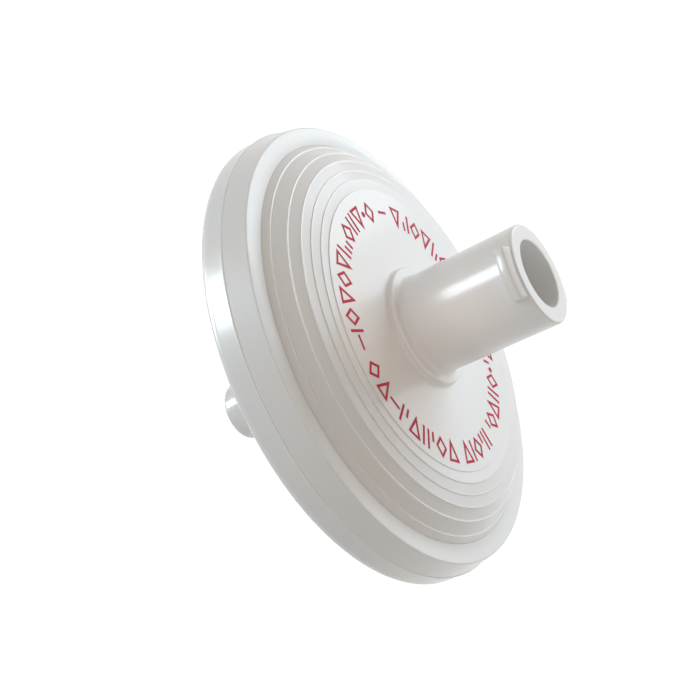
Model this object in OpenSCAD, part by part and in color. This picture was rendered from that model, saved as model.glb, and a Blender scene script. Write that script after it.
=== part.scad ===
// Disc syringe filter: two polypropylene shells trap a membrane under three graded
// glass fibre prefilters, and a moulded rim band locks the shells together.
// The flow axis is Z. The origin is the centre of the inlet's mouth, with +Z out of
// the mouth, so the whole filter hangs below the origin.

/* [Filter stack] */
// Diameter of the membrane disc
membrane_d = 25; // [20:0.5:34]
// Thickness of the membrane
membrane_t = 0.13; // [0.1:0.01:0.25]
// Width of membrane edge that the shells clamp, outside the prefilters
edge_seal_w = 0.5; // [0.3:0.05:1]
// Thickness of the coarse prefilter, next to the inlet
coarse_t = 0.60; // [0.4:0.05:1]
// Thickness of the medium prefilter
medium_t = 0.50; // [0.3:0.05:0.8]
// Thickness of the fine prefilter, on the membrane
fine_t = 0.40; // [0.3:0.05:0.8]
// Radial room round the filter discs
disc_clearance = 0.05; // [0.02:0.01:0.15]

/* [Shells] */
// Wall of the inlet shell over the filter stack
inlet_wall = 1.10; // [0.8:0.05:1.6]
// Height of the ribs that hold the stack down and spread the inflow
spread_rib_h = 0.54; // [0.3:0.02:0.9]
// Height of the ribs that carry the stack and gather the outflow
support_rib_h = 0.60; // [0.3:0.05:1]
// Thickness of the outlet shell's plate
outlet_wall = 1.00; // [0.8:0.05:1.8]
// Width of a rib
rib_w = 0.45; // [0.3:0.05:0.7]
// Distance from one ring rib to the next
rib_pitch = 1.50; // [1.2:0.1:2.5]
// Number of radial channels that cut the ring ribs
channels = 8; // [4:1:16]
// Width of a radial channel
channel_w = 1.00; // [0.6:0.1:1.4]
// Width of the weld land, from the membrane's edge to the shells' edge
weld_land_w = 1.50; // [1:0.1:2.5]
// Thickness of the inlet shell's flange
inlet_flange_t = 0.72; // [0.6:0.02:1.5]
// Thickness of the outlet shell's flange
outlet_flange_t = 1.10; // [0.8:0.02:1.6]

/* [Dome] */
// Radial run of the domed shoulder, from its foot to the flat face
dome_run = 3.92; // [3:0.1:5]
// Number of fine steps round the dome
dome_steps = 6; // [4:1:8]
// Distance of the lowest step from the dome's foot
foot_gap = 0.30; // [0.2:0.05:0.6]
// Width of the level ledge on top of a fine step
ledge_w = 0.12; // [0.05:0.01:0.2]
// Height of one fine step
step_h = 0.06; // [0.03:0.01:0.08]

/* [Rim band] */
// Wall of the band outside the shells, at its widest, near the rear
band_wall = 1.10; // [0.8:0.05:2]
// Overlap of the band's front lip on the inlet shell's flange
front_lip_w = 0.66; // [0.4:0.02:1]
// Thickness of the front lip
front_lip_t = 0.70; // [0.5:0.05:1.2]
// Overlap of the band's rear lip on the outlet shell's flange
rear_lip_w = 1.00; // [0.5:0.05:1.5]
// Thickness of the rear lip
rear_lip_t = 0.70; // [0.5:0.05:1.2]
// Height that the parting ridge stands out of the band's side
ridge_h = 0.08; // [0.04:0.01:0.15]
// Distance of the parting ridge behind the band's front
ridge_depth = 1.50; // [1:0.05:2.2]
// Inward lean of the band's side, from its widest down to the ridge
rear_lean = 0.15; // [0:0.01:0.25]
// Further inward lean of the side, from the ridge to the band's front
front_lean = 0.38; // [0.2:0.01:0.5]
// Radius of the band's rear edge
rear_round = 0.70; // [0.3:0.05:0.75]

/* [Inlet hub] */
// Length of the hub above the flat face
hub_l = 8.30; // [6.9:0.1:11]
// Outer diameter of the hub's neck
neck_d = 6.40; // [6.2:0.05:6.7]
// Outer diameter of the boss at the hub's foot
boss_d = 7.80; // [7.6:0.1:9]
// Height of the boss
boss_h = 0.42; // [0.42:0.02:0.8]
// Distance across the two locking lugs
lug_span = 7.80; // [7.6:0.02:7.9]
// Width of a locking lug
lug_w = 3.20; // [2.7:0.1:3.6]
// Thickness of a locking lug at its root
lug_t = 1.10; // [0.8:0.05:1.4]
// Diameter of the tapered socket at its mouth
socket_d = 4.30; // [4.26:0.01:4.34]
// Depth of the tapered socket
socket_l = 7.50; // [6:0.1:7.8]

/* [Outlet nozzle] */
// Diameter of the tapered nozzle at its tip
tip_d = 3.95; // [3.92:0.01:4]
// Length of the tapered nozzle
tip_l = 8.00; // [7:0.1:11]
// Diameter of the shoulder at the nozzle's root
shoulder_d = 6.20; // [5.6:0.1:7]
// Height of the shoulder above the rear face
shoulder_h = 2.15; // [1.4:0.05:3]
// Number of webs round the shoulder
webs = 8; // [4:1:12]
// Thickness of a web
web_t = 0.80; // [0.5:0.05:1]
// Height of a web at its outer end
web_end_h = 0.35; // [0.2:0.05:0.6]
// Clear ring between the webs' ends and the rim band
web_gap = 4.00; // [1:0.1:4.5]
// Diameter of the straight flow channel in the hub and the nozzle
flow_d = 2.00; // [1.4:0.1:2.4]

/* [Hidden] */
$fn = 96;

// Both tapers narrow by 6 mm of diameter in each 100 mm
taper = 0.06;
// Small edge break on moulded corners
edge_r = 0.20;
// Extra reach of a cutting solid past the face that it cuts
over = 0.5;

// Radii
membrane_r = membrane_d / 2;
prefilter_r = membrane_r - edge_seal_w;
chamber_r = prefilter_r + disc_clearance;
recess_r = membrane_r + disc_clearance;
flange_r = membrane_r + weld_land_w;
band_r = flange_r + band_wall;
dome_r = flange_r - front_lip_w;
rear_r = flange_r - rear_lip_w;
flat_r = dome_r - dome_run;
web_r = rear_r - web_gap;
// The chamber's top corner is cut back by this much, so that the wall follows the dome
corner = 1.0;
spread_r = chamber_r - corner;
support_r = recess_r - edge_seal_w;
step_pitch = (dome_run - foot_gap) / (dome_steps - 1);

// Heights, from the mouth of the inlet downwards
face_z = -hub_l;
ceiling_z = face_z - inlet_wall;
stack_top_z = ceiling_z - spread_rib_h;
medium_top_z = stack_top_z - coarse_t;
fine_top_z = medium_top_z - medium_t;
weld_z = fine_top_z - fine_t;
stack_foot_z = weld_z - membrane_t;
floor_z = stack_foot_z - support_rib_h;
rear_z = floor_z - outlet_wall;
root_z = rear_z - shoulder_h;
tip_z = root_z - tip_l;
front_z = weld_z + inlet_flange_t + front_lip_t;
band_foot_z = weld_z - outlet_flange_t - rear_lip_t;
dome_h = face_z - front_z;

// Points of an arc about c from angle a0 to angle a1
function arc(c, r, a0, a1, n = 6) =
    [for (i = [0:n]) let (a = a0 + (a1 - a0) * i / n) c + r * [cos(a), sin(a)]];

// Height of the dome over its foot at radius r: steep at the foot, level at the flat face
function dome_rise(r) = dome_h * (1 - pow(1 - (dome_r - r) / dome_run, 3));

// Radius of step i, counted outwards from the edge of the flat face
function step_r(i) = flat_r + i * step_pitch;

// Height of step i over the dome's foot; the bands on each side of step 2 share one slope
function step_rise(i) =
    i == 2 ? (dome_rise(step_r(1)) + dome_rise(step_r(3))) / 2 : dome_rise(step_r(i));

// The dome's outline, from the flat face out to the lowest step: ledge, drop, sloping band
function dome_outline() =
    [for (i = [0:dome_steps - 1]) let (r = step_r(i), z = front_z + step_rise(i))
        each concat(i > 0 ? [[r - ledge_w, z]] : [], [[r, z], [r, z - step_h]])];

// Solid turned from an outline of [radius, height] points
module turned(outline) {
    rotate_extrude() polygon(outline);
}

// Ring ribs between two heights, cut by the radial channels
module ring_ribs(from_z, to_z, reach) {
    count = floor((reach - flow_d) / rib_pitch);
    difference() {
        for (i = [1:count]) let (r = flow_d + i * rib_pitch - rib_w)
            translate([0, 0, from_z]) difference() {
                cylinder(r = r + rib_w, h = to_z - from_z);
                translate([0, 0, -over]) cylinder(r = r, h = to_z - from_z + 2 * over);
            }
        for (i = [0:channels - 1])
            rotate(360 * i / channels)
                translate([0, -channel_w / 2, from_z - over])
                    cube([reach + over, channel_w, to_z - from_z + 2 * over]);
    }
}

// The two locking lugs at the inlet's mouth
module lugs() {
    // The lug's flank slopes, so that it is thinner at its crest
    slope = lug_t / 4;
    intersection() {
        turned([[neck_d / 2 - over, 0], [neck_d / 2, 0], [lug_span / 2, -slope],
                [lug_span / 2, -lug_t + slope], [neck_d / 2, -lug_t], [neck_d / 2 - over, -lug_t]]);
        translate([-lug_span, -lug_w / 2, -lug_t - over])
            cube([2 * lug_span, lug_w, lug_t + 2 * over]);
    }
}

// Room inside the inlet: the tapered socket, then the straight channel to the chamber
module inlet_bore() {
    socket_r = socket_d / 2;
    turned([[0, over], [socket_r + over * taper / 2, over],
            [socket_r - socket_l * taper / 2, -socket_l], [flow_d / 2, -socket_l],
            [flow_d / 2, ceiling_z - over], [0, ceiling_z - over]]);
}

// Inlet hub: tapered socket, two locking lugs, and the boss at its foot
module inlet_hub() {
    boss_r = boss_d / 2;
    boss_z = face_z + boss_h;
    color([0.93, 0.95, 0.96, 0.85]) {
        difference() {
            turned(concat(
                [[0, 0]],
                arc([neck_d / 2 - edge_r, -edge_r], edge_r, 90, 0, 3),
                arc([neck_d / 2 + edge_r, boss_z + edge_r], edge_r, 180, 270, 3),
                arc([boss_r - edge_r, boss_z - edge_r], edge_r, 90, 0, 4),
                [[boss_r, face_z], [0, face_z]]));
            inlet_bore();
        }
        lugs();
    }
}

// Inlet shell: flat face, stepped dome and flange, with the filter chamber inside
module inlet_housing() {
    color([0.93, 0.95, 0.96, 0.85]) difference() {
        turned(concat(
            [[0, face_z]],
            dome_outline(),
            [[dome_r, front_z], [dome_r, front_z - front_lip_t],
             [flange_r, front_z - front_lip_t], [flange_r, weld_z], [chamber_r, weld_z],
             [chamber_r, stack_top_z], [spread_r, ceiling_z], [0, ceiling_z]]));
        inlet_bore();
    }
}

// Ribs under the inlet shell's ceiling, which hold the stack down and spread the inflow
module spread_ribs() {
    color([0.95, 0.96, 0.97]) ring_ribs(stack_top_z, ceiling_z, spread_r);
}

// Webs that brace the nozzle against the rear face
module nozzle_webs() {
    inner = flow_d / 2 + edge_r;
    // The webs stop short of the shoulder's rounded edge
    web_top_z = root_z + 1.5 * edge_r;
    for (i = [0:webs - 1])
        rotate([90, 0, 360 * (i + 0.5) / webs])
            translate([0, 0, -web_t / 2])
                linear_extrude(web_t)
                    polygon([[inner, rear_z + edge_r], [web_r, rear_z + edge_r],
                             [web_r, rear_z - web_end_h], [inner, web_top_z]]);
}

// Outlet shell: plate, flange, shoulder and tapered nozzle
module outlet_housing() {
    tip_r = tip_d / 2;
    root_r = tip_r + tip_l * taper / 2;
    shoulder_r = shoulder_d / 2;
    color([0.92, 0.94, 0.95, 0.85]) difference() {
        union() {
            turned(concat(
                [[0, floor_z], [support_r, floor_z], [support_r, stack_foot_z],
                 [recess_r, stack_foot_z], [recess_r, weld_z], [flange_r, weld_z],
                 [flange_r, weld_z - outlet_flange_t], [rear_r, weld_z - outlet_flange_t],
                 [rear_r, rear_z]],
                arc([shoulder_r + edge_r, rear_z - edge_r], edge_r, 90, 180, 3),
                arc([shoulder_r - edge_r, root_z + edge_r], edge_r, 0, -90, 3),
                [[root_r, root_z]],
                arc([tip_r - edge_r, tip_z + edge_r], edge_r, 0, -90, 3),
                [[0, tip_z]]));
            nozzle_webs();
        }
        translate([0, 0, tip_z - over]) cylinder(d = flow_d, h = floor_z - tip_z + 2 * over);
    }
}

// Ribs on the outlet shell's floor, which carry the stack and gather the outflow
module support_ribs() {
    color([0.94, 0.95, 0.96]) ring_ribs(floor_z, stack_foot_z, support_r);
}

// Band moulded round both flanges, with its parting ridge and rounded rear edge
module rim_band() {
    // Depth of the shallow cove between the front edge and the dome
    cove = 0.04;
    // Radius of the band's front edge
    front_round = 0.10;
    side_r = band_r - rear_lean;
    front_edge_r = side_r - front_lean;
    cove_r = (front_edge_r + dome_r) / 2;
    ridge_z = front_z - ridge_depth;
    color([0.88, 0.91, 0.92]) turned(concat(
        [[dome_r, front_z], [cove_r, front_z - cove]],
        arc([front_edge_r - front_round, front_z - front_round], front_round, 90, 10, 4),
        [[side_r, ridge_z + ridge_h], [side_r + ridge_h, ridge_z], [side_r, ridge_z - ridge_h]],
        arc([band_r - rear_round, band_foot_z + rear_round], rear_round, 0, -90, 6),
        [[rear_r, band_foot_z], [rear_r, weld_z - outlet_flange_t],
         [flange_r, weld_z - outlet_flange_t], [flange_r, front_z - front_lip_t],
         [dome_r, front_z - front_lip_t]]));
}

// One flat disc of the stack, from its top down by t
module disc(r, top_z, t) {
    translate([0, 0, top_z - t]) cylinder(r = r, h = t);
}

// Coarse glass fibre disc, next to the inlet
module prefilter_coarse() {
    color([0.97, 0.97, 0.95]) disc(prefilter_r, stack_top_z, coarse_t);
}

// Medium glass fibre disc
module prefilter_medium() {
    color([0.96, 0.96, 0.94]) disc(prefilter_r, medium_top_z, medium_t);
}

// Fine glass fibre disc, on the membrane
module prefilter_fine() {
    color([0.95, 0.95, 0.93]) disc(prefilter_r, fine_top_z, fine_t);
}

// Membrane, clamped at its edge between the shells
module membrane() {
    color([0.99, 0.99, 0.99]) disc(membrane_r, weld_z, membrane_t);
}

inlet_hub();
inlet_housing();
spread_ribs();
outlet_housing();
support_ribs();
rim_band();
prefilter_coarse();
prefilter_medium();
prefilter_fine();
membrane();
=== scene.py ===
# %% [markdown]
# # A disc syringe filter in milky polypropylene
#
# A syringe filter cleans a liquid as a syringe pushes it through. A flat round housing
# holds a membrane under three felt discs. The syringe locks into the hub on one side, and
# the clean liquid leaves through the nozzle on the other side.
#
# The lesson builds the plastic shells again with finer edges than the CAD model has, and
# gives every piece a procedural finish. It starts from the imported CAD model, which fixes
# every size and place. Z is the flow axis, and the origin is the centre of the inlet's
# mouth.

import math

import bmesh
import bpy
from mathutils import Matrix, Vector


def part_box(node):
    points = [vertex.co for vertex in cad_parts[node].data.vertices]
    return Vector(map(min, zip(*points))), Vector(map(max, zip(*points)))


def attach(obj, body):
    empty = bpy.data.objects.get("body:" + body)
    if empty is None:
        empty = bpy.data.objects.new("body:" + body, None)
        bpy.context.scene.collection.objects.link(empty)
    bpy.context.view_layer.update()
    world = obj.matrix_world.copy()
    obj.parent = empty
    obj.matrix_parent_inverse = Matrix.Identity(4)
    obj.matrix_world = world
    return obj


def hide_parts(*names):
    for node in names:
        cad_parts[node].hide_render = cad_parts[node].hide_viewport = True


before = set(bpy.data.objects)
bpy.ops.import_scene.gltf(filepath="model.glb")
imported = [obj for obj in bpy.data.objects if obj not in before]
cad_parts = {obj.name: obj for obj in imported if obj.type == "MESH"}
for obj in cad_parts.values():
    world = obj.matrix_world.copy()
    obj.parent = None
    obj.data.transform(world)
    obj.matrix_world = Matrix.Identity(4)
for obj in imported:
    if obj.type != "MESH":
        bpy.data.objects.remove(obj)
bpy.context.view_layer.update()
scene = bpy.context.scene
print("CAD nodes:", ", ".join(sorted(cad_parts)))

# %% [markdown]
# ## Sizes
#
# The outer radii and heights come from the boxes of the CAD nodes, so the new pieces fit
# the frame with no guessing. The smaller sizes repeat the CAD model's own values. Outlines
# are written in millimetres, because a mould maker thinks in them, and become metres only
# when a mesh is made.

# %% Sizes read from the CAD nodes
MM = 0.001


def radius_and_heights(node):
    """Outer radius, lowest and highest point of a round CAD node, in millimetres."""
    low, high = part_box(node)
    return high.x / MM, low.z / MM, high.z / MM


flange_r, weld_z, face_z = radius_and_heights("inlet_housing")
_, _, mouth_z = radius_and_heights("inlet_hub")
band_r, band_foot_z, front_z = radius_and_heights("rim_band")
_, tip_z, _ = radius_and_heights("outlet_housing")
felt_r, _, stack_top_z = radius_and_heights("prefilter_coarse")
membrane_r, stack_foot_z, _ = radius_and_heights("membrane")
print(f"band {2 * band_r:.1f} mm across, {mouth_z - tip_z:.1f} mm from mouth to tip")

# %% Sizes repeated from the CAD source
# The hub
neck_r = 3.20
boss_r = 3.90
boss_h = 0.42
lug_r = 3.90
lug_half_w = 1.60
lug_t = 1.10
socket_r = 2.15
socket_l = 7.50
channel_r = 1.00
taper = 0.03
# The shells
inlet_wall = 1.10
disc_clearance = 0.05
edge_seal_w = 0.50
corner = 1.00
outlet_wall = 1.00
support_rib_h = 0.60
outlet_flange_t = 1.10
# The dome
dome_run = 3.92
dome_steps = 6
foot_gap = 0.30
ledge_w = 0.12
step_h = 0.06
# The band
front_lip_w = 0.66
front_lip_t = 0.70
rear_lip_w = 1.00
ridge_h = 0.08
ridge_depth = 1.50
rear_lean = 0.15
front_lean = 0.38
cove = 0.04
rear_round = 0.70
# The nozzle
nozzle_tip_r = 1.975
nozzle_l = 8.00
shoulder_r = 3.10
shoulder_h = 2.15
webs = 8
web_t = 0.80
web_gap = 4.00
web_end_h = 0.35
# The ribs that hold the felt
rib_w = 0.45
rib_pitch = 1.50
channels = 8
channel_w = 1.00

room_r = felt_r + disc_clearance
recess_r = membrane_r + disc_clearance
support_r = recess_r - edge_seal_w
boss_z = face_z + boss_h
ceiling_z = face_z - inlet_wall
floor_z = stack_foot_z - support_rib_h
rear_z = floor_z - outlet_wall
root_z = rear_z - shoulder_h
root_r = nozzle_tip_r + nozzle_l * taper
dome_r = flange_r - front_lip_w
flat_r = dome_r - dome_run
rear_r = flange_r - rear_lip_w
print(f"flat face {2 * flat_r:.2f} mm across at {face_z:.2f} mm below the mouth")

# %% [markdown]
# ## The camera
#
# The camera comes first, because every choice of edge width and finish depends on how large
# a millimetre looks. The filter is held at an angle, with its nozzle to the lower left and
# its stepped face turned to the viewer, so the camera is rolled. A rolled camera is easiest
# to place from its three axes: right, up and backwards are the columns of its rotation.

# %% Camera
camera_right = Vector((-0.52267, 0.31826, 0.79090))
camera_up = Vector((0.00000, -0.92771, 0.37331))
camera_back = camera_right.cross(camera_up)

camera_data = bpy.data.cameras.new("camera")
camera_data.sensor_width = 36.0
camera_data.lens = 61.21
camera_data.clip_start = 0.005
camera_data.clip_end = 5.0
camera = bpy.data.objects.new("camera", camera_data)
scene.collection.objects.link(camera)
turn = Matrix((camera_right, camera_up, camera_back)).transposed().to_4x4()
camera.matrix_world = Matrix.Translation(Vector((65.35, 14.26, 23.35)) * MM) @ turn
scene.camera = camera
print(f"camera {camera.location.length / MM:.0f} mm from the mouth")

# %% [markdown]
# ## Nodes from Python
#
# Both the shapes and the finishes are made of nodes. `Nodes.add` makes any node: it takes
# the type, the settings, and what goes into the sockets. It gives back a `Signal`, which
# wraps one output. Arithmetic on signals adds Math nodes, so a formula in a material reads
# as the formula does on paper, and `1 - mask` works as well as `mask * 2`.

# %% Signals and nodes


def find_socket(sockets, key):
    """A socket by its identifier, its name or its number."""
    named = {socket.identifier: socket for socket in sockets}
    return named[key] if key in named else sockets[key]


class Signal:
    """One output of a node. Python's operators on it add Math nodes."""

    def __init__(self, nodes, socket):
        self.nodes = nodes
        self.socket = socket

    def output(self, key):
        """Another output of the same node."""
        return Signal(self.nodes, find_socket(self.socket.node.outputs, key))

    def math(self, operation, *others):
        values = dict(enumerate([self, *others]))
        return self.nodes.add("ShaderNodeMath", {"operation": operation}, values)

    def __add__(self, other):
        return self.math("ADD", other)

    def __radd__(self, other):
        return self.math("ADD", other)

    def __sub__(self, other):
        return self.math("SUBTRACT", other)

    def __rsub__(self, other):
        return self.nodes.add("ShaderNodeMath", {"operation": "SUBTRACT"}, {0: other, 1: self})

    def __mul__(self, other):
        return self.math("MULTIPLY", other)

    def __rmul__(self, other):
        return self.math("MULTIPLY", other)

    def __truediv__(self, other):
        return self.math("DIVIDE", other)


class Nodes:
    """Adds nodes to one tree."""

    def __init__(self, tree):
        self.tree = tree

    def add(self, kind, settings=None, sockets=None, output=0):
        node = self.tree.nodes.new(kind)
        for name, value in (settings or {}).items():
            setattr(node, name, value)
        for key, value in (sockets or {}).items():
            self.feed(node, key, value)
        return Signal(self, find_socket(node.outputs, output)) if len(node.outputs) else node

    def feed(self, node, key, value):
        """Links a signal to a socket, or sets the socket's own value."""
        socket = find_socket(node.inputs, key)
        if isinstance(value, Signal):
            self.tree.links.new(value.socket, socket)
        else:
            socket.default_value = value


print("node helpers ready")

# %% [markdown]
# ## Milky polypropylene
#
# The shells are moulded in polypropylene with no pigment. It looks white because light
# scatters inside it, and where it touched the polished mould it has a thin gloss. So the
# shader is a Principled one that has a little subsurface scattering, over a quarter of a
# millimetre, below a smooth coat. A plain white paint would look like chalk.
#
# The scattering stays short for a reason. Each shell is a mesh of its own, and light that
# walks into the hidden face between two of them is lost, which draws a dark line there.
#
# Moulding leaves marks that the eye knows without seeing: the surface waves a little where
# thick parts shrink, the melt leaves faint streaks that run out from the gate at the
# centre, and the mould was turned on a lathe, which leaves rings finer than a hair. The
# waves are plain noise, and the streaks and rings are functions of the distance from the
# axis and the direction round it.

# %% The milky plastic


def new_material(name):
    material = bpy.data.materials.new(name)
    material.use_nodes = True
    tree = material.node_tree
    shader = next(node for node in tree.nodes if node.type == "BSDF_PRINCIPLED")
    return material, Nodes(tree), shader


def noise(nodes, vector, scale, detail=2.0, roughness=0.5):
    """Smooth noise from 0 to 1, with about `scale` features in a metre."""
    sockets = {"Vector": vector, "Scale": scale, "Detail": detail, "Roughness": roughness}
    return nodes.add("ShaderNodeTexNoise", None, sockets)


def blend_colour(nodes, share, low, high):
    """A colour between two colours or colour signals, by a share from 0 to 1."""
    low, high = (c if isinstance(c, Signal) else (*c, 1.0) for c in (low, high))
    sockets = {"Factor_Float": share, "A_Color": low, "B_Color": high}
    return nodes.add("ShaderNodeMix", {"data_type": "RGBA"}, sockets, "Result_Color")


PLASTIC_IOR = 1.46
PLASTIC_ROUGHNESS = 0.34
COAT_SHARE = 0.5
COAT_ROUGHNESS = 0.14
SCATTER_SHARE = 0.35
SCATTER_MM = 0.28
SCATTER_BY_COLOUR = (1.0, 0.92, 0.84)
TINT_CONTRAST = 2.2
RING_PITCH = 0.34 * MM


def milky_plastic(name, cool, warm):
    """Milky plastic that drifts between two tints."""
    material, nodes, shader = new_material(name)
    place = nodes.add("ShaderNodeTexCoord", output="Object")
    axes = nodes.add("ShaderNodeSeparateXYZ", None, {0: place})
    x, y, z = axes, axes.output("Y"), axes.output("Z")
    radius = (x * x + y * y).math("SQRT")

    # Streaks: noise over the direction round the axis, stretched along the radius
    outward = radius + 0.2 * MM
    round_axis = nodes.add("ShaderNodeCombineXYZ", None, {0: x / outward, 1: y / outward, 2: radius * 60})
    streaks = noise(nodes, round_axis, 5.0, 4.0)
    clouds = noise(nodes, place, 190.0)
    tint = (0.65 * clouds + 0.35 * streaks - 0.5) * TINT_CONTRAST + 0.5
    tint = tint.math("MINIMUM", 1.0).math("MAXIMUM", 0.0)
    nodes.feed(shader, "Base Color", blend_colour(nodes, tint, cool, warm))

    # Gloss: soft, and a little uneven
    handled = noise(nodes, place, 900.0, 3.0)
    uneven = 0.06 * (handled - 0.5) + 0.03 * (streaks - 0.5)
    nodes.feed(shader, "Roughness", PLASTIC_ROUGHNESS + uneven)

    # Relief: sink waves, fine peel, and the rings left by the mould's lathe
    waves = noise(nodes, place, 260.0, 1.0)
    peel = noise(nodes, place, 3500.0, 2.0)
    rings = ((radius - z) * (2 * math.pi / RING_PITCH) + 0.8 * clouds).math("SINE")
    relief = 9 * waves + 0.8 * peel + 0.2 * rings
    bump = nodes.add("ShaderNodeBump", None, {"Strength": 1.0, "Distance": 0.001 * MM, "Height": relief})
    nodes.feed(shader, "Normal", bump)

    nodes.feed(shader, "IOR", PLASTIC_IOR)
    nodes.feed(shader, "Coat Weight", COAT_SHARE)
    nodes.feed(shader, "Coat Roughness", COAT_ROUGHNESS)
    nodes.feed(shader, "Subsurface Weight", SCATTER_SHARE)
    nodes.feed(shader, "Subsurface Radius", SCATTER_BY_COLOUR)
    nodes.feed(shader, "Subsurface Scale", SCATTER_MM * MM)
    print(f"{name}: scatters over {SCATTER_MM} mm")
    return material


shell_plastic = milky_plastic("shell_plastic", (0.86, 0.88, 0.90), (0.89, 0.87, 0.85))
band_plastic = milky_plastic("band_plastic", (0.85, 0.88, 0.90), (0.88, 0.875, 0.86))

# %% [markdown]
# ## The lathe
#
# Every shell is a turned shape, so its whole form is one outline. A modifier such as Screw
# would turn it, but a small Geometry Nodes tree does it with inputs that can be named:
# Curve to Mesh carries the outline round a circle. The bore runs right through the filter,
# so an outline is a closed loop that never touches the axis, and the turned mesh closes on
# itself with no pole and no cap.
#
# Real edges are never sharp. `rounded` puts an arc in each corner and one extra point on
# each side of it. Those points keep the shading of the flat faces flat, because a smooth
# normal then has only a sliver of the face to turn over.

# %% Outlines with rounded corners
ARC_STEP = math.radians(15)
EDGE_SHARE = 0.42
SUPPORT_SHARE = 0.06
SUPPORT_MAX = 0.05


def rounded(corners):
    """Points of a closed outline, from corners given as (radius, height, fillet) in mm."""
    outline = []
    for i, (r, z, fillet) in enumerate(corners):
        here = Vector((r, z))
        inward = here - Vector(corners[i - 1][:2])
        outward = Vector(corners[(i + 1) % len(corners)][:2]) - here
        turn = -inward.angle_signed(outward)
        if not fillet or abs(turn) < math.radians(1):
            outline.append(here)
            continue
        shorter = min(inward.length, outward.length)
        reach = min(fillet * math.tan(abs(turn) / 2), EDGE_SHARE * shorter)
        radius = reach / math.tan(abs(turn) / 2)
        support = min(SUPPORT_MAX, SUPPORT_SHARE * shorter)
        ahead = inward.normalized()
        start = here - ahead * reach
        centre = start + Vector((-ahead.y, ahead.x)) * math.copysign(radius, turn)
        steps = max(2, math.ceil(abs(turn) / ARC_STEP))
        outline.append(start - ahead * support)
        for k in range(steps + 1):
            spin = Matrix.Rotation(turn * k / steps, 2)
            outline.append(centre + spin @ (start - centre))
        outline.append(here + outward.normalized() * (reach + support))
    return outline


print(len(rounded([(1, 0, 0.1), (2, 0, 0.1), (2, 1, 0.1), (1, 1, 0.1)])), "points in a test square")

# %% The lathe's tree
PATH_R = 10.0
SEGMENTS = 256


def new_tree(name, inputs):
    """An empty Geometry Nodes tree with named inputs, and its node maker and ends."""
    tree = bpy.data.node_groups.new(name, "GeometryNodeTree")
    tree.interface.new_socket("Geometry", in_out="INPUT", socket_type="NodeSocketGeometry")
    for label, kind in inputs:
        tree.interface.new_socket(label, in_out="INPUT", socket_type=kind)
    tree.interface.new_socket("Geometry", in_out="OUTPUT", socket_type="NodeSocketGeometry")
    nodes = Nodes(tree)
    return tree, nodes, nodes.add("NodeGroupInput")


def end_tree(nodes, geometry, material):
    """The last nodes of every tree: real geometry instead of instances, and its material."""
    real = nodes.add("GeometryNodeRealizeInstances", None, {"Geometry": geometry})
    finished = nodes.add("GeometryNodeSetMaterial", None, {"Geometry": real, "Material": material})
    nodes.add("NodeGroupOutput", None, {"Geometry": finished})


lathe_tree, nodes, given = new_tree(
    "lathe",
    [("Segments", "NodeSocketInt"), ("Path radius", "NodeSocketFloat"), ("Material", "NodeSocketMaterial")],
)
outline_curve = nodes.add("GeometryNodeMeshToCurve", None, {"Mesh": given})
path = nodes.add(
    "GeometryNodeCurvePrimitiveCircle",
    {"mode": "RADIUS"},
    {"Resolution": given.output("Segments"), "Radius": given.output("Path radius")},
)
turned = nodes.add("GeometryNodeCurveToMesh", None, {"Curve": path, "Profile Curve": outline_curve})
end_tree(nodes, turned, given.output("Material"))
print("lathe tree:", len(lathe_tree.nodes), "nodes")

# %% Plain meshes from modifiers
SHARP_ANGLE = math.radians(40)


def add_modifier(piece, tree, values):
    """Puts a tree on a piece, with its inputs set by the identifiers of their sockets."""
    modifier = piece.modifiers.new(tree.name, "NODES")
    modifier.node_group = tree
    for item in tree.interface.items_tree:
        if item.in_out == "INPUT" and item.name in values:
            modifier[item.identifier] = values[item.name]


def make_plain(piece):
    """Turns what the modifiers make into the piece's own mesh, faces outwards."""
    bpy.context.view_layer.update()
    graph = bpy.context.evaluated_depsgraph_get()
    plain = bpy.data.meshes.new_from_object(piece.evaluated_get(graph))
    piece.modifiers.clear()
    piece.data = plain
    shape = bmesh.new()
    shape.from_mesh(plain)
    if shape.calc_volume(signed=True) < 0:
        bmesh.ops.reverse_faces(shape, faces=shape.faces)
    open_edges = sum(not edge.is_manifold for edge in shape.edges)
    volume = shape.calc_volume() / MM**3
    shape.to_mesh(plain)
    shape.free()
    plain.shade_smooth()
    plain.set_sharp_from_angle(angle=SHARP_ANGLE)
    print(f"{piece.name}: {len(plain.polygons)} faces, {open_edges} open edges, {volume:.1f} mm3")
    return piece


def new_piece(name, points, edges, faces):
    """An object at the origin from points in millimetres."""
    mesh = bpy.data.meshes.new(name)
    mesh.from_pydata([Vector(point) * MM for point in points], edges, faces)
    piece = bpy.data.objects.new(name, mesh)
    scene.collection.objects.link(piece)
    return piece


def lathe(name, corners, material):
    """A turned piece. Curve to Mesh lays an outline's X outwards and its Y downwards."""
    outline = [(point.x - PATH_R, -point.y, 0.0) for point in rounded(corners)]
    edges = [(i, (i + 1) % len(outline)) for i in range(len(outline))]
    piece = new_piece(name, outline, edges, [])
    values = {"Segments": SEGMENTS, "Path radius": PATH_R * MM, "Material": material}
    add_modifier(piece, lathe_tree, values)
    return make_plain(piece)


def settle(piece, slot, *nodes_stood_for):
    """A finished piece rides on the one body, and the CAD nodes it stands for are hidden."""
    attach(piece, "root")
    if nodes_stood_for:
        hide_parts(*nodes_stood_for)


print("lathe ready,", SEGMENTS, "segments")

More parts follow.
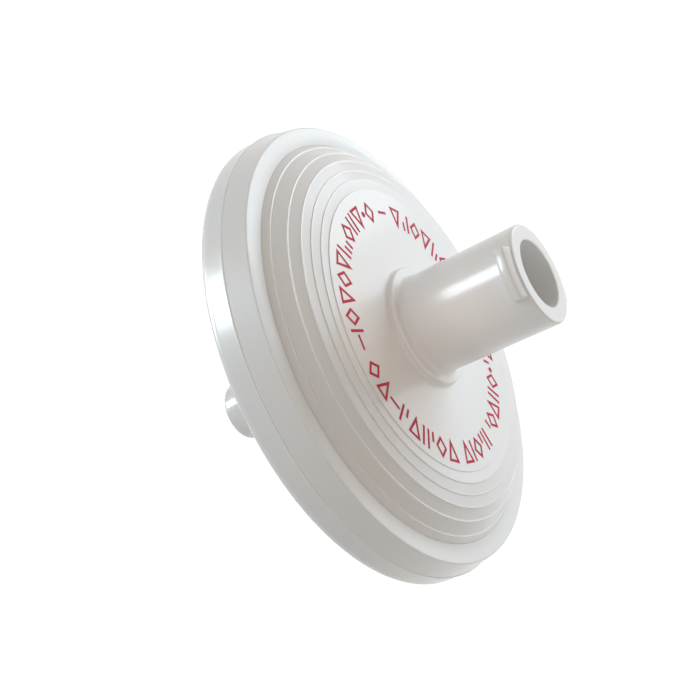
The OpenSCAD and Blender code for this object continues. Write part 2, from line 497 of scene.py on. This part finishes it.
# %% [markdown]
# ## The inlet shell
#
# The shell that faces the viewer has a hub for the syringe, a low boss at the hub's foot, a
# flat face, and a stepped dome that runs down to the rim. The CAD model keeps the hub and
# the shell apart, so that its collision leaves the socket open. They are one moulding, so
# one turned piece stands for both here, and no seam shows.
#
# The dome follows a rule: it falls with the third power of the distance from its inner
# end, and six fine steps cut it into bands. Each band is a true cone, so its shade is even
# and changes at the steps.
#
# A step is a level ledge an eighth of a millimetre wide, and a drop half as high. On the
# steep outer bands the ledge faces up and catches the light as a bright hairline. Near the
# flat face it can't be told from its band, and the drop shows as a dark line instead.

# %% The dome's rule


def dome_z(r):
    """Height of the dome at a radius: steep at its foot, level at the flat face."""
    fall = 1 - (dome_r - r) / dome_run
    return front_z + (face_z - front_z) * (1 - fall**3)


STEP_EDGE = 0.02
step_pitch = (dome_run - foot_gap) / (dome_steps - 1)
step_radii = [flat_r + i * step_pitch for i in range(dome_steps)]
step_heights = [dome_z(r) for r in step_radii]
# The bands on each side of step 2 share one slope
step_heights[2] = (step_heights[1] + step_heights[3]) / 2
dome_corners = []
for i, (r, z) in enumerate(zip(step_radii, step_heights)):
    if i > 0:
        dome_corners.append((r - ledge_w, z, STEP_EDGE))
    dome_corners.append((r, z, STEP_EDGE))
    dome_corners.append((r, z - step_h, STEP_EDGE))
print("steps at", ", ".join(f"{r:.2f}" for r in step_radii), "mm")

# %% The inlet shell's outline
GAP = 0.01
inlet_corners = [
    (socket_r, mouth_z, 0.10),
    (neck_r, mouth_z, 0.18),
    (neck_r, boss_z, 0.25),
    (boss_r, boss_z, 0.14),
    (boss_r, face_z, 0.30),
    *dome_corners,
    (dome_r, front_z, 0.012),
    (dome_r, front_z - front_lip_t - GAP, 0.0),
    (flange_r - GAP, front_z - front_lip_t - GAP, 0.0),
    (flange_r - GAP, weld_z, 0.0),
    (room_r, weld_z, 0.0),
    (room_r, stack_top_z, 0.1),
    (room_r - corner, ceiling_z, 0.2),
    (channel_r, ceiling_z, 0.1),
    (channel_r, mouth_z - socket_l, 0.05),
    (socket_r - socket_l * taper, mouth_z - socket_l, 0.1),
]
inlet_shell = lathe("inlet_shell", inlet_corners, shell_plastic)
settle(inlet_shell, "shell_plastic", "inlet_hub", "inlet_housing")

# %% [markdown]
# ## The rim band
#
# A band of the same plastic is moulded round the edges of both shells and locks them
# together. Its front is a shallow cove, and its side leans in towards the front, more so in
# front of the hairline ridge where the two halves of the mould met. At the back, the side
# rounds over.

# %% The rim band's outline
side_r = band_r - rear_lean
front_edge_r = side_r - front_lean
ridge_z = front_z - ridge_depth
lip_r = dome_r + GAP
cove_points = 5
cove_corners = []
for i in range(1, cove_points + 1):
    share = i / (cove_points + 1)
    r = lip_r + share * (front_edge_r - lip_r)
    cove_corners.append((r, front_z - cove * math.sin(math.pi * share), 0.5))

band_corners = [
    (lip_r, front_z, 0.012),
    *cove_corners,
    (front_edge_r, front_z, 0.11),
    (side_r, ridge_z + ridge_h, 0.05),
    (side_r + ridge_h, ridge_z, 0.03),
    (side_r, ridge_z - ridge_h, 0.05),
    (band_r, band_foot_z, rear_round),
    (rear_r + GAP, band_foot_z, 0.12),
    (rear_r + GAP, weld_z - outlet_flange_t - GAP, 0.0),
    (flange_r + GAP, weld_z - outlet_flange_t - GAP, 0.0),
    (flange_r + GAP, front_z - front_lip_t, 0.0),
    (lip_r, front_z - front_lip_t, 0.0),
]
rim_band_ring = lathe("rim_band_ring", band_corners, band_plastic)
settle(rim_band_ring, "band_plastic", "rim_band")

# %% [markdown]
# ## The outlet shell
#
# The back of the filter is a ribbed plate with a tapered nozzle. The nozzle is longer than
# the hub is wide, so its soft round edge at the tip is what tells the eye that it is
# moulded.

# %% The outlet shell's outline
outlet_corners = [
    (channel_r, floor_z, 0.1),
    (support_r, floor_z, 0.1),
    (support_r, stack_foot_z - GAP, 0.05),
    (recess_r, stack_foot_z - GAP, 0.0),
    (recess_r, weld_z - GAP, 0.0),
    (flange_r - GAP, weld_z - GAP, 0.0),
    (flange_r - GAP, weld_z - outlet_flange_t, 0.0),
    (rear_r, weld_z - outlet_flange_t, 0.1),
    (rear_r, rear_z, 0.1),
    (shoulder_r, rear_z, 0.3),
    (shoulder_r, root_z, 0.25),
    (root_r, root_z, 0.2),
    (nozzle_tip_r, tip_z, 0.22),
    (channel_r, tip_z, 0.10),
]
outlet_shell = lathe("outlet_shell", outlet_corners, shell_plastic)
settle(outlet_shell, "shell_plastic", "outlet_housing")

# %% [markdown]
# ## Webs, lugs and ribs
#
# What repeats round the axis is modelled once and copied by a second tree: it puts one copy
# at each of a number of points, all at the axis, and turns each by its own index. The same
# tree makes the two lugs that a locking collar grips, the eight webs that brace the nozzle,
# and the ribs that hold the felt and spread the liquid over it.

# %% The tree that copies round the axis
around_tree, nodes, given = new_tree(
    "around_the_axis", [("Copies", "NodeSocketInt"), ("Material", "NodeSocketMaterial")]
)
copies = given.output("Copies")
points = nodes.add("GeometryNodePoints", None, {"Count": copies})
index = nodes.add("GeometryNodeInputIndex")
angle = nodes.add("ShaderNodeCombineXYZ", None, {2: (index + 0.5) * (2 * math.pi) / copies})
turned_to = nodes.add("FunctionNodeEulerToRotation", None, {"Euler": angle})
placed = nodes.add(
    "GeometryNodeInstanceOnPoints", None, {"Points": points, "Instance": given, "Rotation": turned_to}
)
end_tree(nodes, placed, given.output("Material"))
print("around-the-axis tree:", len(around_tree.nodes), "nodes")

# %% One of each


def prism(name, outlines, bevel):
    """A closed solid skinned over a row of outlines with as many points each."""
    count = len(outlines[0])
    points = [point for outline in outlines for point in outline]
    faces = [tuple(range(count))[::-1], tuple(range(len(points) - count, len(points)))]
    for k in range(len(outlines) - 1):
        for i in range(count):
            j = (i + 1) % count
            faces.append((k * count + i, k * count + j, (k + 1) * count + j, (k + 1) * count + i))
    piece = new_piece(name, points, [], faces)
    shape = bmesh.new()
    shape.from_mesh(piece.data)
    bmesh.ops.recalc_face_normals(shape, faces=shape.faces)
    shape.to_mesh(piece.data)
    shape.free()
    if bevel:
        rounding = piece.modifiers.new("rounding", "BEVEL")
        rounding.width = bevel * MM
        rounding.segments = 3
        rounding.limit_method = "ANGLE"
        rounding.angle_limit = SHARP_ANGLE
    return piece


def around(piece, copies, material):
    add_modifier(piece, around_tree, {"Copies": copies, "Material": material})
    return make_plain(piece)


# A lug is a slice of a turned ring, so each point keeps its radius as the slice goes across
LUG_STEPS = 16
LUG_SINK = 0.40
LUG_SET_BACK = 0.03
slope = lug_t / 4
buried_r = neck_r - LUG_SINK
lug_outline = [
    (buried_r, -LUG_SET_BACK),
    (lug_r, -slope),
    (lug_r, slope - lug_t),
    (buried_r, -lug_t),
]
lug_slices = []
for k in range(LUG_STEPS + 1):
    across = lug_half_w * (2 * k / LUG_STEPS - 1)
    lug_slices.append([(-across, math.sqrt(r * r - across * across), z) for r, z in lug_outline])
lugs = around(prism("inlet_lugs", lug_slices, 0.10), 2, shell_plastic)
settle(lugs, "shell_plastic")

# A web's inner edges lie inside the shell, so only its free edges show
WEB_SINK = 0.20
WEB_FOOT = 0.30
web_r = rear_r - web_gap
web_outline = [
    (channel_r + WEB_SINK, rear_z + WEB_SINK),
    (web_r, rear_z + WEB_SINK),
    (web_r, rear_z - web_end_h),
    (channel_r + WEB_SINK, root_z + WEB_FOOT),
]
web_sides = [[(r, side * web_t / 2, z) for r, z in web_outline] for side in (1, -1)]
nozzle_webs = around(prism("nozzle_webs", web_sides, 0.12), webs, shell_plastic)
settle(nozzle_webs, "shell_plastic")

# %% The ribs
RIB_STEPS = 10


def rib_sector(name, low_z, high_z, reach):
    """Arcs of ring ribs over one sector, each with its ends square to a radial channel."""
    shape = bmesh.new()
    half_sector = math.pi / channels
    for i in range(1, int((reach - 2 * channel_r) / rib_pitch) + 1):
        outer = 2 * channel_r + i * rib_pitch
        outlines = []
        for k in range(RIB_STEPS + 1):
            outline = []
            for r, z in ((outer - rib_w, low_z), (outer, low_z), (outer, high_z), (outer - rib_w, high_z)):
                half = half_sector - math.asin(channel_w / 2 / r)
                at = half * (2 * k / RIB_STEPS - 1)
                outline.append((r * math.cos(at), r * math.sin(at), z))
            outlines.append(outline)
        arc = prism(f"{name}_arc", outlines, 0)
        shape.from_mesh(arc.data)
        bpy.data.objects.remove(arc)
    piece = new_piece(name, [], [], [])
    shape.to_mesh(piece.data)
    shape.free()
    return piece


OVERLAP = 0.05
spreader = rib_sector("spreader", stack_top_z + GAP, ceiling_z + OVERLAP, room_r - corner)
settle(around(spreader, channels, shell_plastic), "shell_plastic", "spread_ribs")
support = rib_sector("support", floor_z - OVERLAP, stack_foot_z - GAP, support_r)
settle(around(support, channels, shell_plastic), "shell_plastic", "support_ribs")

# %% [markdown]
# ## The printed ring
#
# Pad printing leaves a film of crimson ink about a hundredth of a millimetre thick in a
# ring on the flat face. Here it is a ring of plain marks: bars, short bars, dots, dashes,
# open triangles and open diamonds, in groups like the words of a line of print.
#
# Each mark is modelled once. A row of points carries the number of the mark that stands
# there and its place round the ring as attributes, and a third tree reads them to pick and
# turn the mark. A different ring needs only a different list.

# %% Marks
INK_T = 0.012
STROKE = 0.17
MARK_H = 1.36
MARK_W = 0.92
DOT_R = 0.19
DOT_SIDES = 20
ring_mid_r = 8.02
# The pad lands a little off the middle
PRINT_OFFSET = 0.19


def strip(points, closed):
    """The outline of a stroke along points: pairs of left and right points."""
    pairs = []
    count = len(points)
    for i in range(count):
        here = Vector(points[i])
        back = here - Vector(points[i - 1]) if closed or i > 0 else None
        on = Vector(points[(i + 1) % count]) - here if closed or i < count - 1 else None
        before = (back or on).normalized()
        after = (on or back).normalized()
        middle = (before + after).normalized()
        side = Vector((-middle.y, middle.x)) * (STROKE / 2 / middle.dot(before))
        pairs.append((here + side, here - side))
    return pairs


def mark(name, strokes, dots):
    """One flat mark, X round the ring and Y outwards, with the thickness of the ink."""
    shape = bmesh.new()
    for points, closed in strokes:
        pairs = [[shape.verts.new((*p, 0.0)) for p in pair] for pair in strip(points, closed)]
        spans = len(pairs) if closed else len(pairs) - 1
        for i in range(spans):
            here, on = pairs[i], pairs[(i + 1) % len(pairs)]
            shape.faces.new((here[0], here[1], on[1], on[0]))
    for x, y, r in dots:
        turns = [2 * math.pi * k / DOT_SIDES for k in range(DOT_SIDES)]
        edge = [(x + r * math.cos(a), y + r * math.sin(a), 0.0) for a in turns]
        shape.faces.new([shape.verts.new(p) for p in edge])
    grown = bmesh.ops.extrude_face_region(shape, geom=shape.faces[:])
    top = [v for v in grown["geom"] if isinstance(v, bmesh.types.BMVert)]
    bmesh.ops.translate(shape, verts=top, vec=(0.0, 0.0, 2 * INK_T))
    bmesh.ops.recalc_face_normals(shape, faces=shape.faces)
    for v in shape.verts:
        v.co *= MM
    mesh = bpy.data.meshes.new(name)
    shape.to_mesh(mesh)
    shape.free()
    return bpy.data.objects.new(name, mesh)


half_h = MARK_H / 2
half_w = MARK_W / 2
inset = STROKE / 2
top_y = half_h - inset
triangle = [(-half_w, top_y), (half_w, top_y), (0, -top_y)]
diamond = [(-half_w, 0), (0, top_y), (half_w, 0), (0, -top_y)]
marks = [
    mark("mark_0_bar", [([(0, -half_h), (0, half_h)], False)], []),
    mark("mark_1_short_bar", [([(0, -half_h), (0, 0)], False)], []),
    mark("mark_2_dot", [], [(0, 0, DOT_R)]),
    mark("mark_3_dash", [([(-half_w, 0), (half_w, 0)], False)], []),
    mark("mark_4_triangle", [(triangle, True)], []),
    mark("mark_5_diamond", [(diamond, True)], []),
]
mark_box = bpy.data.collections.new("marks")
for shape in marks:
    mark_box.objects.link(shape)
print(len(marks), "marks")

# %% The ring's tree
ring_tree, nodes, given = new_tree(
    "printed_ring", [("Marks", "NodeSocketCollection"), ("Material", "NodeSocketMaterial")]
)
apart = {"Collection": given.output("Marks"), "Separate Children": True}
choice = nodes.add("GeometryNodeCollectionInfo", None, apart)


def carried(name, data_type):
    """What a point of the row carries under a name."""
    settings = {"data_type": data_type}
    return nodes.add("GeometryNodeInputNamedAttribute", settings, {"Name": name}, "Attribute")


number = carried("mark", "INT")
bearing = carried("bearing", "FLOAT")
upright = nodes.add("ShaderNodeCombineXYZ", None, {2: bearing - math.pi / 2})
mark_turn = nodes.add("FunctionNodeEulerToRotation", None, {"Euler": upright})
picked = {"Instance": choice, "Pick Instance": True, "Instance Index": number}
stamped = {"Points": given, **picked, "Rotation": mark_turn}
printed = nodes.add("GeometryNodeInstanceOnPoints", None, stamped)
end_tree(nodes, printed, given.output("Material"))
print("printed-ring tree:", len(ring_tree.nodes), "nodes")

# %% Ink
ink, nodes, shader = new_material("print_ink")
place = nodes.add("ShaderNodeTexCoord", output="Object")
cover = noise(nodes, place, 2600.0, 3.0)
nodes.feed(shader, "Base Color", blend_colour(nodes, cover, (0.50, 0.010, 0.042), (0.60, 0.028, 0.080)))
nodes.feed(shader, "Roughness", 0.6 + 0.2 * (cover - 0.5))
nodes.feed(shader, "IOR", 1.4)

# %% Print the ring
BAR, SHORT, DOT, DASH, TRIANGLE, DIAMOND, SPACE = range(7)
WIDTHS = {BAR: 0.46, SHORT: 0.46, DOT: 0.50, DASH: 0.86, TRIANGLE: 1.14, DIAMOND: 1.14, SPACE: 0.60}
LINE_START = math.radians(14)
line = [
    *[DIAMOND, TRIANGLE, DASH, BAR, SHORT, TRIANGLE, BAR, BAR, SHORT, DIAMOND, TRIANGLE, SPACE],
    *[TRIANGLE, BAR, DIAMOND, SHORT, BAR, BAR, SPACE],
    *[SHORT, DIAMOND, TRIANGLE, BAR, BAR, DIAMOND, DOT, SHORT, TRIANGLE, BAR, SPACE],
    *[DIAMOND, BAR, SHORT, TRIANGLE, DOT, BAR, DIAMOND, SHORT, BAR, TRIANGLE, DIAMOND, BAR, SHORT],
    *[TRIANGLE, SPACE, DASH, SPACE],
    *[DIAMOND, DOT, TRIANGLE, BAR, BAR, DIAMOND, SHORT, SHORT, BAR, TRIANGLE],
    *[DIAMOND, TRIANGLE, DIAMOND, BAR, DASH, SPACE],
]
length = sum(WIDTHS[item] for item in line)
spots, numbers, bearings = [], [], []
travelled = 0.0
for item in line:
    at = LINE_START + 2 * math.pi * (travelled + WIDTHS[item] / 2) / length
    travelled += WIDTHS[item]
    if item != SPACE:
        x, y = ring_mid_r * math.cos(at), ring_mid_r * math.sin(at)
        spots.append((x + PRINT_OFFSET, y + PRINT_OFFSET, face_z - INK_T))
        numbers.append(item)
        bearings.append(at)
print(f"line {length:.1f} mm long on a ring {2 * math.pi * ring_mid_r:.1f} mm round")

print_ring = new_piece("print_ring", spots, [], [])
print_ring.data.attributes.new("mark", "INT", "POINT").data.foreach_set("value", numbers)
print_ring.data.attributes.new("bearing", "FLOAT", "POINT").data.foreach_set("value", bearings)
add_modifier(print_ring, ring_tree, {"Marks": mark_box, "Material": ink})
settle(make_plain(print_ring), "print_ink")

# %% [markdown]
# ## Felt and membrane
#
# The stack inside hardly shows, but someone may open the filter or light it from behind, so
# it gets its own finishes. Glass fibre felt is a mat of crossing hairs: three noises, each
# stretched hard in a direction of its own, look like it. The membrane is a sponge with
# pores far too small to see, so it is only a fine, even tooth. These CAD nodes have the
# right shape, so they stay, and only their materials change.

# %% Felt
HAIR_TURNS = (0.3, 1.9, 2.8)
HAIR_STRETCH = (1.0, 0.12, 1.0)


def felt(name, hair_scale, colour_low, colour_high):
    material, nodes, shader = new_material(name)
    place = nodes.add("ShaderNodeTexCoord", output="Object")
    hairs = []
    for turn in HAIR_TURNS:
        laid_so = {"Vector": place, "Rotation": (0.0, 0.0, turn), "Scale": HAIR_STRETCH}
        laid = nodes.add("ShaderNodeMapping", None, laid_so)
        hairs.append(noise(nodes, laid, hair_scale, 3.0))
    mat = hairs[0].math("MAXIMUM", hairs[1]).math("MAXIMUM", hairs[2])
    nodes.feed(shader, "Base Color", blend_colour(nodes, mat, colour_low, colour_high))
    nodes.feed(shader, "Roughness", 0.95 - 0.15 * mat)
    bump = nodes.add("ShaderNodeBump", None, {"Strength": 0.8, "Distance": 0.03 * MM, "Height": mat})
    nodes.feed(shader, "Normal", bump)
    return material


coarse_felt = felt("coarse_felt", 5000.0, (0.78, 0.78, 0.75), (0.93, 0.93, 0.91))
medium_felt = felt("medium_felt", 8000.0, (0.80, 0.80, 0.77), (0.93, 0.93, 0.91))
fine_felt = felt("fine_felt", 12000.0, (0.82, 0.82, 0.80), (0.94, 0.94, 0.92))
stack_finishes = {
    "prefilter_coarse": ("glass_fibre", coarse_felt),
    "prefilter_medium": ("glass_fibre", medium_felt),
    "prefilter_fine": ("glass_fibre", fine_felt),
}

membrane_film, nodes, shader = new_material("membrane_film")
place = nodes.add("ShaderNodeTexCoord", output="Object")
tooth = noise(nodes, place, 30000.0, 2.0)
nodes.feed(shader, "Base Color", blend_colour(nodes, tooth, (0.90, 0.90, 0.90), (0.96, 0.96, 0.96)))
nodes.feed(shader, "Roughness", 0.7 + 0.2 * (tooth - 0.5))
stack_finishes["membrane"] = ("membrane_film", membrane_film)

for node, (slot, material) in stack_finishes.items():
    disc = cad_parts[node]
    disc.data.materials.clear()
    disc.data.materials.append(material)
print("finished", ", ".join(stack_finishes))

# %% [markdown]
# ## Floor, world and lamps
#
# In use the filter hangs from its syringe, so the floor lies a little below the tip. It is
# plain and pale, and the camera sees it and the world as white. What lights the filter is a
# darker room. It is dimmer overhead than at the horizon, and dimmer and warmer on the near
# side, where a hand and a syringe would be.
#
# The main lamp is a softbox high behind the filter. It brightens everything that faces up,
# and leaves the near side in the softer light of the room. That contrast is what makes the
# steps of the dome readable. A white object needs care with gloss, because a mirrored lamp
# can burn it out. So some lamps only light it, and some cards are only mirrored in it.

# %% Floor and world
floor_mesh = bpy.data.meshes.new("floor")
FLOOR_R = 1.5
floor_height = -50.0 * MM
corners = [(x * FLOOR_R, y * FLOOR_R, floor_height) for x, y in ((-1, -1), (1, -1), (1, 1), (-1, 1))]
floor_mesh.from_pydata(corners, [], [(0, 1, 2, 3)])
floor = bpy.data.objects.new("floor", floor_mesh)
scene.collection.objects.link(floor)


def seen_directly(nodes):
    """1 for what the camera sees, directly, in gloss or through clear plastic, 0 for light."""
    path = nodes.add("ShaderNodeLightPath")
    seen = path.output("Is Camera Ray") + path.output("Is Glossy Ray")
    return (seen + path.output("Is Transmission Ray")).math("MINIMUM", 1.0)


# Strength and share of the glow in what the camera sees of the floor. Together they pass 1,
# so the floor shows as plain white and the shadow on it can't be seen
FLOOR_GLOW = 1.3
FLOOR_GLOW_SHARE = 0.8
floor_finish, nodes, shader = new_material("pale_floor")
place = nodes.add("ShaderNodeTexCoord", output="Object")
mottle = noise(nodes, place, 8.0, 3.0)
nodes.feed(shader, "Base Color", blend_colour(nodes, mottle, (0.61, 0.61, 0.61), (0.65, 0.65, 0.65)))
nodes.feed(shader, "Roughness", 0.9)
glow = nodes.add("ShaderNodeEmission", None, {"Color": (1.0, 1.0, 1.0, 1.0), "Strength": FLOOR_GLOW})
share = FLOOR_GLOW_SHARE * seen_directly(nodes)
lit = Signal(nodes, shader.outputs["BSDF"])
mixed = nodes.add("ShaderNodeMixShader", None, {0: share, 1: lit, 2: glow})
end = next(node for node in nodes.tree.nodes if node.type == "OUTPUT_MATERIAL")
nodes.feed(end, "Surface", mixed)
floor_mesh.materials.append(floor_finish)

HORIZON_FAR = (0.50, 0.50, 0.49)
HORIZON_NEAR = (0.43, 0.43, 0.42)
OVERHEAD_FAR = (0.32, 0.295, 0.27)
OVERHEAD_NEAR = (0.345, 0.215, 0.10)
NEAR_AZIMUTH = math.radians(-15)
WHITE = (1.0, 1.0, 1.0)
world = bpy.data.worlds.new("studio")
world.use_nodes = True
scene.world = world
nodes = Nodes(world.node_tree)
sky = next(node for node in world.node_tree.nodes if node.type == "BACKGROUND")
direction = nodes.add("ShaderNodeTexCoord", output="Generated")
parts = nodes.add("ShaderNodeSeparateXYZ", None, {0: direction})
height = parts.output("Z").math("MAXIMUM", 0.0)
nearness = 0.5 + 0.5 * (parts * math.cos(NEAR_AZIMUTH) + parts.output("Y") * math.sin(NEAR_AZIMUTH))
overhead = blend_colour(nodes, nearness, OVERHEAD_FAR, OVERHEAD_NEAR)
horizon = blend_colour(nodes, nearness, HORIZON_FAR, HORIZON_NEAR)
room = blend_colour(nodes, height, horizon, overhead)
nodes.feed(sky, "Color", blend_colour(nodes, seen_directly(nodes), room, WHITE))
print("floor at", round(floor_height / MM), "mm")

# %% Lamps
look_at = Vector((0.0, 0.0, -10.0)) * MM


def softbox(name, azimuth, elevation, distance_mm, size_mm, watts, colour, lights=True, mirrored=True):
    """A rectangular lamp that faces the filter, and lights it, shows in its gloss, or both."""
    a, e = math.radians(azimuth), math.radians(elevation)
    towards = Vector((math.cos(a) * math.cos(e), math.sin(a) * math.cos(e), math.sin(e)))
    data = bpy.data.lights.new(name, "AREA")
    data.shape = "RECTANGLE"
    data.size, data.size_y = size_mm[0] * MM, size_mm[1] * MM
    data.energy = watts
    data.color = colour
    lamp = bpy.data.objects.new(name, data)
    lamp.location = look_at + towards * distance_mm * MM
    lamp.rotation_mode = "QUATERNION"
    lamp.rotation_quaternion = towards.to_track_quat("Z", "Y")
    lamp.visible_camera = False
    lamp.visible_diffuse = lights
    lamp.visible_glossy = mirrored
    scene.collection.objects.link(lamp)
    return lamp


COOL = (0.80, 0.92, 1.0)
WARM = (1.0, 0.74, 0.58)
# High behind the filter
softbox("key_softbox", 212.0, 43.0, 80.0, (40.0, 26.0), 0.0262, COOL, mirrored=False)
softbox("window", 201.0, 40.0, 110.0, (112.0, 63.0), 0.0175, COOL)
softbox("dome_glint", 211.0, 30.0, 85.0, (21.0, 21.0), 0.0030, COOL)
# A faint glow by the hub's foot, as a clear collar round the hub would pass on
softbox("hub_glow", 10.0, 39.0, 10.5, (5.0, 5.0), 0.00004, WARM, mirrored=False)
# Cards that are only mirrored, in the band's side and in the nozzle
softbox("low_card", 328.0, -28.0, 80.0, (32.0, 46.0), 0.0650, COOL, lights=False)
softbox("nozzle_card", 322.0, -45.0, 46.0, (14.0, 18.0), 0.0110, COOL, lights=False)
# Weak fills that only light the sides
softbox("low_fill", 338.0, -8.0, 90.0, (46.0, 40.0), 0.0180, COOL, mirrored=False)
softbox("right_fill", 112.0, 25.0, 90.0, (50.0, 40.0), 0.0075, COOL, mirrored=False)
softbox("near_fill", 45.0, -28.0, 90.0, (50.0, 40.0), 0.0055, COOL, mirrored=False)

# %% [markdown]
#
# The Standard view shows a colour as it is written.

# %% Finish
scene.view_settings.view_transform = "Standard"
